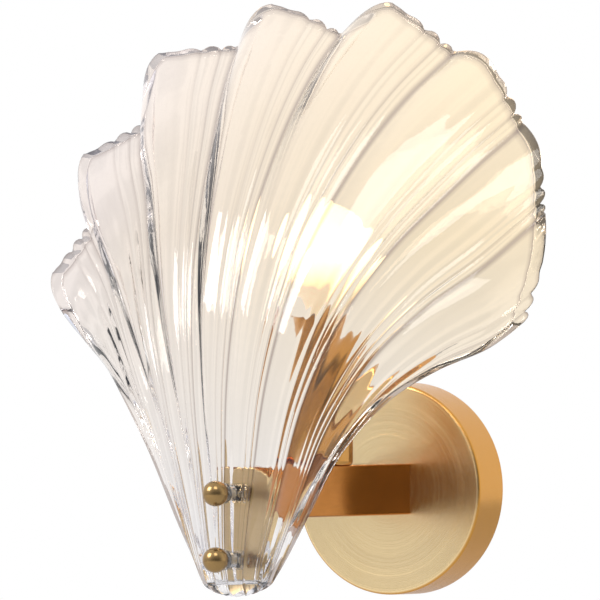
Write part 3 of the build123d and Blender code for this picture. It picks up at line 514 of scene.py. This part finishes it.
class Shell(Wiring):
    """A tree of the glass, with named inputs and outputs. It works in millimetres."""

    def __init__(self, name):
        super().__init__(bpy.data.node_groups.new(name, "GeometryNodeTree"))
        self.sizes = {}
        self.entry = self.tree.nodes.new("NodeGroupInput")

    def size(self, name, kind="Float", value=None):
        """A named input and its value."""
        kind = f"NodeSocket{kind}"
        socket = self.tree.interface.new_socket(name, in_out="INPUT", socket_type=kind)
        self.sizes[socket.identifier] = value
        return Term(self, self.entry.outputs[name])

    def give(self, **results):
        """The tree's outputs."""
        leaving = self.tree.nodes.new("NodeGroupOutput")
        for name, (kind, result) in results.items():
            kind = f"NodeSocket{kind}"
            self.tree.interface.new_socket(name, in_out="OUTPUT", socket_type=kind)
            self.tree.links.new(result.socket, leaving.inputs[name])

    def use(self, part, **values):
        """Another tree's outputs, for these values."""
        named = {name.replace("_", " "): value for name, value in values.items()}
        first = self.add("GeometryNodeGroup", {"node_tree": part.tree}, named)
        return [Term(self, socket) for socket in first.socket.node.outputs]

    def guide(self, guide):
        """A guide curve, made smooth, ready to be sampled."""
        own_place = {"transform_space": "ORIGINAL"}
        shape = self.add("GeometryNodeObjectInfo", own_place, {"Object": guide}, "Geometry")
        bent = {"spline_type": "CATMULL_ROM"}
        smooth = self.add("GeometryNodeCurveSplineType", bent, {"Curve": shape})
        values = {"Geometry": smooth, "Resolution": GUIDE_STEPS}
        return self.add("GeometryNodeSetSplineResolution", None, values)

    def sample(self, curve, station):
        """Point and direction of a guide at a share of its length."""
        values = {"Curves": curve, "Factor": station}
        first = self.add("GeometryNodeSampleCurve", {"mode": "FACTOR"}, values, "Position")
        return first, Term(self, first.socket.node.outputs["Tangent"])

    def scaled(self, vector, factor):
        values = {0: vector, "Scale": factor}
        return self.add("ShaderNodeVectorMath", {"operation": "SCALE"}, values)

    def pick(self, count, values):
        """One of several numbers, by its count."""
        node = self.tree.nodes.new("GeometryNodeIndexSwitch")
        node.data_type = "FLOAT"
        for _ in values[len(node.index_switch_items):]:
            node.index_switch_items.new()
        self.tree.links.new(count.socket, node.inputs[0])
        for socket, value in zip(node.inputs[1:], values):
            socket.default_value = value
        return Term(self, node.outputs[0])

    def lobe_of(self, place):
        """Which pleat a place is in, counted from 0, and how far across it."""
        from_left = place + LOBES_PER_SIDE
        count = from_left.math("FLOOR").ramp(0, LOBES - 1, 0, LOBES - 1)
        return count, from_left - count

    def crest(self, share, top_share, fall_power):
        """Height over the valleys, from 0 to 1: a steep rise to the crest and a long fall."""
        rise = (share / top_share).math("MINIMUM", 1).math("MAXIMUM", 0)
        fall = (share - top_share).math("MAXIMUM", 0) / (1 - top_share)
        return (rise * (pi / 2)).math("SINE") * (1 - fall.math("MINIMUM", 1) ** fall_power)

    def ribs(self, share, count):
        """How far across the ribs a place in a pleat is, and the height of their arches there."""
        rib_share = share.ramp(RIBS_START, 1) ** RIB_SPREAD
        return rib_share, (rib_share * count * pi).math("SINE").math("ABSOLUTE")


# The pleated surface: a point for each place across it, counted in pleats, and each station along it.
surface = Shell("pleated surface")
edge_line = surface.size("Side edge", "Geometry")
middle_line = surface.size("Front middle", "Geometry")
place = surface.size("Place")
station = surface.size("Station")
inset = surface.size("Inset")
neck_depth = surface.size("Neck pleat depth")
crest_share = surface.size("Crest share")
body_narrowing = surface.size("Body narrowing")
rim_widening = surface.size("Rim widening")
rib_count = surface.size("Ribs per pleat")
rib_depth = surface.size("Rib depth")
lobe, share = surface.lobe_of(place)
from_middle = place.math("ABSOLUTE")
turns = [
    from_middle.ramp(n, n + 1) * radians(end - start)
    for n, (start, end) in enumerate(zip(LOBE_ENDS, LOBE_ENDS[1:]))
]
angle = sum(turns[1:], turns[0]) * place.math("SIGN")
edge, _ = surface.sample(edge_line, station)
middle, along = surface.sample(middle_line, station)
edge_x, edge_y, edge_z = surface.parts(edge)
_, along_y, along_z = surface.parts(along)
inwards = surface.vector(0.0, along_z * inset, -along_y * inset)
foot = surface.vector(0.0, edge_y, edge_z)
rise = surface.vectors("SUBTRACT", surface.vectors("ADD", middle, inwards), foot)
height = surface.vectors("LENGTH", rise, output="Value")
up = surface.vectors("NORMALIZE", rise)
width = edge_x - inset
side = angle.math("SINE")
front = angle.math("COSINE")
widening = rim_widening * station**RIM_WIDENING_POWER
narrowing = 1 - (body_narrowing - widening) * front**2
out_x = height * side
out_y = width * front
growth = (surface.pick(lobe, PLEAT_DEPTHS) - neck_depth) * station**PLEAT_GROWTH
pleat = (neck_depth + growth) * surface.crest(share, crest_share, CREST_FALL)
rib_share, arches = surface.ribs(share, rib_count)
flute = arches**RIB_SQUARENESS
fade = rib_share.ramp(*RIB_FADE_SHARES) * station.ramp(*RIB_FADE_STATIONS)
pleat = (pleat + rib_depth * fade * (flute - 1)) / (out_x**2 + out_y**2) ** 0.5
across = width * side * narrowing + pleat * out_x
lifted = surface.scaled(up, height * front + pleat * out_y)
sideways = surface.vector(across, 0.0, 0.0)
point = surface.vectors("ADD", surface.vectors("ADD", foot, lifted), sideways)
surface.give(Point=("Vector", point), Foot=("Vector", foot))

# The station at which that surface meets the scalloped rim, found in a few steps along it.
rim = Shell("scalloped rim")
edge_line = rim.size("Side edge", "Geometry")
middle_line = rim.size("Front middle", "Geometry")
place = rim.size("Place")
rim_crest_share = rim.size("Rim crest share")
rim_lean = rim.size("Rim face lean")
rib_count = rim.size("Ribs per pleat")
shape = {
    "Side_edge": edge_line,
    "Front_middle": middle_line,
    "Place": place,
    "Neck_pleat_depth": rim.size("Neck pleat depth"),
    "Crest_share": rim.size("Crest share"),
    "Body_narrowing": rim.size("Body narrowing"),
    "Rim_widening": rim.size("Rim widening"),
}
lobe, share = rim.lobe_of(place)
notch = rim.pick(lobe, RIM_NOTCH_RADII[:-1])
next_notch = rim.pick(lobe, RIM_NOTCH_RADII[1:])
scallop = rim.pick(lobe, RIM_SCALLOP_DEPTHS) * rim.crest(share, rim_crest_share, RIM_CREST_FALL)
_, arches = rim.ribs(share, rib_count)
ripple_fade = share.ramp(RIBS_START, RIBS_START + RIPPLE_FADE)
ripple = (arches**RIB_SQUARENESS - 1) * ripple_fade * RIM_RIPPLE
radius = notch + (next_notch - notch) * share.ramp(0, 1) + scallop + ripple
rim_edge, _ = rim.sample(edge_line, RIM_STATION)
rim_middle, _ = rim.sample(middle_line, RIM_STATION)
_, edge_y, edge_z = rim.parts(rim_edge)
rim_foot = rim.vector(0.0, edge_y, edge_z)
rim_up = rim.vectors("NORMALIZE", rim.vectors("SUBTRACT", rim_middle, rim_foot))
rim_out = rim.vectors("CROSS_PRODUCT", (1, 0, 0), rim_up)
station = RIM_SEARCH_START
for _ in range(RIM_SEARCH_STEPS):
    point, _ = rim.use(surface, Station=station, **shape)
    from_foot = rim.vectors("SUBTRACT", point, rim_foot)
    across, _, _ = rim.parts(point)
    upwards = rim.vectors("DOT_PRODUCT", from_foot, rim_up, output="Value")
    depth = rim.vectors("DOT_PRODUCT", from_foot, rim_out, output="Value")
    excess = (across**2 + upwards**2) ** 0.5 - radius - depth * rim_lean
    station = station - excess / PATH_LENGTH
rim.give(Station=("Float", station))

# The whole shell: an outer and an inner skin, rounded into each other at the rim and both sides.
shell = Shell("pleated glass shell")
side_guide = guide_curve("side edge", SIDE_EDGE)
middle_guide = guide_curve("front middle", FRONT_MIDDLE)
lines = {
    "Side_edge": shell.guide(shell.size("Side edge", "Object", side_guide)),
    "Front_middle": shell.guide(shell.size("Front middle", "Object", middle_guide)),
}
wall = shell.size("Glass thickness", "Float", 7.5)
shape = {
    "Neck_pleat_depth": shell.size("Neck pleat depth", "Float", 1.3),
    "Crest_share": shell.size("Crest share", "Float", 0.26),
    "Body_narrowing": shell.size("Body narrowing", "Float", 0.22),
    "Rim_widening": shell.size("Rim widening", "Float", 0.3),
}
ribs = {
    "Ribs_per_pleat": shell.size("Ribs per pleat", "Float", 3.0),
    "Rib_depth": shell.size("Rib depth", "Float", 2.0),
}
rim_shape = {
    "Rim_crest_share": shell.size("Rim crest share", "Float", 0.32),
    "Rim_face_lean": shell.size("Rim face lean", "Float", tan(radians(30))),
    "Ribs_per_pleat": ribs["Ribs_per_pleat"],
}
glass_material = shell.size("Material", "Material", clear_glass.material)
columns = LOBES * COLUMNS_PER_LOBE + 2 * SIDE_COLUMNS + 1
rows = RIM_ROWS + BODY_ROWS + 2 * FOOT_ROWS + 1
margin = SIDE_COLUMNS / COLUMNS_PER_LOBE
grid_values = {
    "Size X": LOBES + 2 * margin,
    "Size Y": rows - 1,
    "Vertices X": columns,
    "Vertices Y": rows,
}
grid = shell.add("GeometryNodeMeshGrid", None, grid_values)
x, y, _ = shell.parts(shell.add("GeometryNodeInputPosition"))
place = x.ramp(-LOBES_PER_SIDE, LOBES_PER_SIDE, -LOBES_PER_SIDE, LOBES_PER_SIDE)
side_turn = (x.math("ABSOLUTE") - LOBES_PER_SIDE).ramp(0, margin, 0, pi / 2)
row = y + (rows - 1) / 2
rim_end = RIM_ROWS
body_end = rim_end + BODY_ROWS
fold_end = body_end + FOOT_ROWS
back_end = fold_end + FOOT_ROWS
rim_turn = row.ramp(0, rim_end, pi / 2, 0)
up_share = row.ramp(rim_end, body_end, 1, 0)
fold_turn = row.ramp(body_end, fold_end, 0, pi / 2)
foot_share = fold_turn.math("SINE")
back_share = row.ramp(fold_end, back_end, 0, 1)

# Painted shade: how dark the glass is drawn in its valleys, beside its ribs and along its lip.
_, share = shell.lobe_of(place)
valley_shade = 1 - share.math("MINIMUM", 1 - share) / VALLEY_SHARE
_, arches = shell.ribs(share, ribs["Ribs_per_pleat"])
line_fade = share.ramp(RIBS_START, RIBS_START + RIPPLE_FADE)
rib_shade_line = (1 - arches) ** RIB_LINE_SHARPNESS * line_fade * RIB_SHADE_DARKNESS
lip_shade = 1 - (row - (RIM_ROWS - 1)).math("ABSOLUTE") / LIP_HALF_ROWS
crease = valley_shade.math("MAXIMUM", rib_shade_line).math("MAXIMUM", lip_shade)

# The stations of each row, and the way along the glass towards the rim.
(top,) = shell.use(rim, Place=place, **lines, **shape, **rim_shape)
top = top - wall * (RIM_ROUNDNESS + RIM_MARGIN) / 2 / PATH_LENGTH
body_station = HOLLOW_STATION + up_share * (top - HOLLOW_STATION)
outer_station = body_station - HOLLOW_STATION * foot_share * (1 - back_share)
inner = {"Place": place, "Inset": wall, **lines, **shape}
inner_point, _ = shell.use(surface, Station=body_station, **inner)
inner_x, _, _ = shell.parts(inner_point)
core = {"Place": place, "Inset": wall * 0.5, **lines, **shape}
beyond, _ = shell.use(surface, Station=body_station + STATION_STEP, **core)
before, _ = shell.use(surface, Station=body_station - STATION_STEP, **core)
rimwards = shell.vectors("NORMALIZE", shell.vectors("SUBTRACT", beyond, before))


def skin(outer):
    """One side: columns round the arch, rows from the rim to the foot and back up behind it."""
    station = outer_station if outer else body_station
    outside, foot = shell.use(surface, Place=place, Station=station, **lines, **shape, **ribs)
    inside, _ = shell.use(surface, Station=station, **inner)
    centre = shell.scaled(shell.vectors("ADD", outside, inside), 0.5)
    half = shell.vectors("SUBTRACT", outside, centre)
    reach = shell.vectors("LENGTH", half, output="Value")
    sidewards = shell.vectors("NORMALIZE", shell.vectors("CROSS_PRODUCT", half, rimwards))
    thinning = rim_turn.math("COSINE").math("MAXIMUM", 0) ** EDGE_SQUARENESS
    turned = side_turn.math("COSINE") * thinning
    point = shell.vectors("ADD", centre, shell.scaled(half, turned if outer else -turned))
    rim_reach = rim_turn.math("SINE") ** EDGE_SQUARENESS * reach * RIM_ROUNDNESS
    point = shell.vectors("ADD", point, shell.scaled(rimwards, rim_reach))
    edge_reach = side_turn.math("SINE") * reach * SIDE_ROUNDNESS * x.math("SIGN")
    point = shell.vectors("ADD", point, shell.scaled(sidewards, edge_reach))
    px, py, pz = shell.parts(point)
    _, foot_y, foot_z = shell.parts(foot)
    closing = fold_turn.math("COSINE")
    if outer:
        px = px * (1 - FOOT_ROUNDING * foot_share**2 * (1 - back_share))
    px = px + (inner_x - px) * back_share
    py = foot_y + (py - foot_y) * closing
    pz = foot_z + (pz - foot_z) * closing
    # Each skin carries the painted crease shade as a point attribute: the outer in valleys, beside
    # ribs and along the lip, the inner along the lip.
    marks = {"Geometry": grid, "Name": "crease", "Value": crease if outer else lip_shade}
    per_point = {"data_type": "FLOAT", "domain": "POINT"}
    marked = shell.add("GeometryNodeStoreNamedAttribute", per_point, marks)
    places = {"Geometry": marked, "Position": shell.vector(px, py, pz)}
    placed = shell.add("GeometryNodeSetPosition", None, places)
    return placed if outer else shell.add("GeometryNodeFlipFaces", None, {"Mesh": placed})


both = shell.add("GeometryNodeJoinGeometry", None, {0: skin(True)})
shell.tree.links.new(skin(False).socket, both.socket.node.inputs[0])
welding = {"Geometry": both, "Distance": WELD_DISTANCE}
welded = shell.add("GeometryNodeMergeByDistance", None, welding)
scaling = {"Geometry": welded, "Scale": (METRES_PER_MILLIMETRE,) * 3}
metres = shell.add("GeometryNodeTransform", None, scaling)
real = shell.add("GeometryNodeRealizeInstances", None, {"Geometry": metres})
glazed = {"Geometry": real, "Material": glass_material}
shell.give(Geometry=("Geometry", shell.add("GeometryNodeSetMaterial", None, glazed)))

# The plain mesh that the tree grows, with its last gaps closed.
glass = add_object("pleated_glass", bpy.data.meshes.new("pleated_glass"))
grower = glass.modifiers.new("grown", "NODES")
grower.node_group = shell.tree
for identifier, value in shell.sizes.items():
    grower[identifier] = value
evaluated = glass.evaluated_get(bpy.context.evaluated_depsgraph_get())
grown_mesh = bpy.data.meshes.new_from_object(evaluated)
glass.modifiers.clear()
glass.data = grown_mesh
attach(glass, "sconce")
bpy.data.objects.remove(side_guide)
bpy.data.objects.remove(middle_guide)
work = bmesh.new()
work.from_mesh(grown_mesh)
open_edges = [edge for edge in work.edges if edge.is_boundary]
bmesh.ops.holes_fill(work, edges=open_edges, sides=0)
bmesh.ops.recalc_face_normals(work, faces=work.faces)
work.to_mesh(grown_mesh)
work.free()
grown_mesh.polygons.foreach_set("use_smooth", [True] * len(grown_mesh.polygons))
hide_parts("glass_shell")

# ---- glass fixings -------------------------------------------------------------------------------
# Two threaded studs hold the glass, each with a nut and a clear ring behind it and a clear washer and
# a brass ball in front. The balls are turned and aged, darker than the rest.

CAST_GRAIN = (300, 2)
CLEAR_TONES = ((0.86, 0.87, 0.87), (0.95, 0.95, 0.95))
clear_plastic = Finish("clear plastic", Roughness=0.12, IOR=1.45, Transmission_Weight=0.9)
cast = clear_plastic.noise(*CAST_GRAIN)
clear_plastic.lay(clear_plastic.blend(cast.spread(), *CLEAR_TONES))
dress(clear_plastic.material, "glass_spacers", "hole_sleeves")
dress(clear_plastic.material, "upper_front_washer", "lower_front_washer")

aged_brass = polished_brass(
    "aged brass",
    pale=(0.40, 0.26, 0.11),
    deep=(0.26, 0.15, 0.05),
    stretch=(1.0, 1.0, 1.0),
    gloss=(0.2, 0.3),
)
dress(aged_brass, "stud_nuts", "upper_ball_knob", "lower_ball_knob")
dress(screw_brass, "glass_studs")

# ---- room ----------------------------------------------------------------------------------------
# A plain pale floor well below the lamp, a white surrounding that is seen behind it and through the
# glass, and two soft lamps in front.

FLOOR_Z = -0.30
FLOOR_REACH = 2.2
FLOOR_SIDES = 96
FLOOR_MOTTLE = (3, 2)
FLOOR_TONES = ((0.86, 0.86, 0.86), (0.89, 0.89, 0.89))
corners = [2 * pi * n / FLOOR_SIDES for n in range(FLOOR_SIDES)]
floor_edge = [(cos(turn) * FLOOR_REACH, sin(turn) * FLOOR_REACH, FLOOR_Z) for turn in corners]
floor_mesh = bpy.data.meshes.new("floor")
floor_mesh.from_pydata(floor_edge, [], [tuple(range(FLOOR_SIDES))])
floor = add_object("floor", floor_mesh)
floor_paint = Finish("pale floor", Roughness=0.9)
mottle = floor_paint.noise(*FLOOR_MOTTLE)
floor_paint.lay(floor_paint.blend(mottle.spread(), *FLOOR_TONES))
floor_mesh.materials.append(floor_paint.material)

# What the surrounding shows depends on what looks at it. The camera sees white in the picture's own
# direction, and light grey in others. Brass mirrors a room that is bright at the left and overhead.
# Glass shows soft drapes towards the room and white paper towards the wall.
AZIMUTH, ELEVATION = radians(31.0), radians(0.4)
BACKDROP_SIDE = 0.78
BACKDROP_EDGES = (0.80, 0.97)
DIFFUSE_LIGHT = 0.55
WALL_EDGES = (-0.35, 0.2)
ROOM_LEFT = 0.85
ROOM_RIGHT = 0.16
ROOM_EDGES = (-0.75, 0.35)
CEILING = 0.5
CEILING_EDGES = (0.0, 0.7)
DRAPE_FOLDS = 5.0
DRAPE_DARK = 0.52
DRAPE_EDGES = (0.38, 0.58)
PAPER_DARK = 0.88
PAPER_EDGES = (0.40, 0.54)
WHITE_AIR = (1.0, 1.0, 1.0)
COOL_AIR = (0.84, 0.87, 0.98)
world = bpy.data.worlds.new("studio")
bpy.context.scene.world = world
world.use_nodes = True
sky = Wiring(world.node_tree)
path = sky.add("ShaderNodeLightPath").socket.node.outputs
by_camera = Term(sky, path["Is Camera Ray"])
through_glass = Term(sky, path["Is Transmission Ray"])
off_metal = Term(sky, path["Is Glossy Ray"])
direction = sky.add("ShaderNodeTexCoord", output="Generated")
rightwards, towards_wall, upwards = sky.parts(direction)
looking = (-sin(AZIMUTH), cos(AZIMUTH), 0.0)
facing = sky.vectors("DOT_PRODUCT", direction, looking, output="Value")
backdrop = facing.ramp(*BACKDROP_EDGES, BACKDROP_SIDE, 1.0)
folds = {"Vector": direction, "Scale": DRAPE_FOLDS, "Detail": 1.0}
drapes = sky.add("ShaderNodeTexNoise", None, folds)
wallwards = towards_wall.ramp(*WALL_EDGES)
ceiling = upwards.ramp(*CEILING_EDGES, 0.0, CEILING)
room = rightwards.ramp(*ROOM_EDGES, ROOM_LEFT, ROOM_RIGHT) + ceiling
in_metal = room + (1 - room) * wallwards
glints = drapes.ramp(*DRAPE_EDGES, DRAPE_DARK, 1.0)
paper = drapes.ramp(*PAPER_EDGES, PAPER_DARK, 1.0)
in_glass = glints + (paper - glints) * wallwards
reflected = off_metal * in_metal + (1 - off_metal) * DIFFUSE_LIGHT
unseen = through_glass * in_glass + (1 - through_glass) * reflected
strength = by_camera * backdrop + (1 - by_camera) * unseen
air = sky.blend((1 - by_camera) * (1 - wallwards), WHITE_AIR, COOL_AIR)
background = sky.tree.nodes["Background"]
sky.tree.links.new(air.socket, background.inputs["Color"])
sky.tree.links.new(strength.socket, background.inputs["Strength"])

LIT_POINT = Vector((0, -0.08, 0.08))


def soft_lamp(name, place, width, power):
    """A square lamp turned to the sconce, with its power in watts."""
    lamp = bpy.data.lights.new(name, "AREA")
    lamp.size = width
    lamp.energy = power
    thing = add_object(name, lamp)
    thing.location = place
    thing.rotation_euler = (LIT_POINT - Vector(place)).to_track_quat("-Z", "Y").to_euler()


soft_lamp("key lamp", (-1.1, -1.5, 1.3), 0.9, 26)
soft_lamp("fill lamp", (0.7, -1.2, 1.7), 0.8, 8)

DISTANCE = 10.0
PIXELS_PER_METRE = 2116.0
PICTURE_WIDTH = 600
SENSOR_WIDTH = 36.0
AIM = Vector((-0.0357, -0.0434, 0.0893))
camera = bpy.data.cameras.new("camera")
camera.sensor_width = SENSOR_WIDTH
camera.lens = PIXELS_PER_METRE * DISTANCE * SENSOR_WIDTH / PICTURE_WIDTH
viewer = add_object("camera", camera)
level = cos(ELEVATION)
back = Vector((sin(AZIMUTH) * level, -cos(AZIMUTH) * level, sin(ELEVATION)))
viewer.location = AIM + back * DISTANCE
viewer.rotation_euler = (-back).to_track_quat("-Z", "Y").to_euler()
bpy.context.scene.camera = viewer
bpy.context.scene.view_settings.view_transform = "Standard"
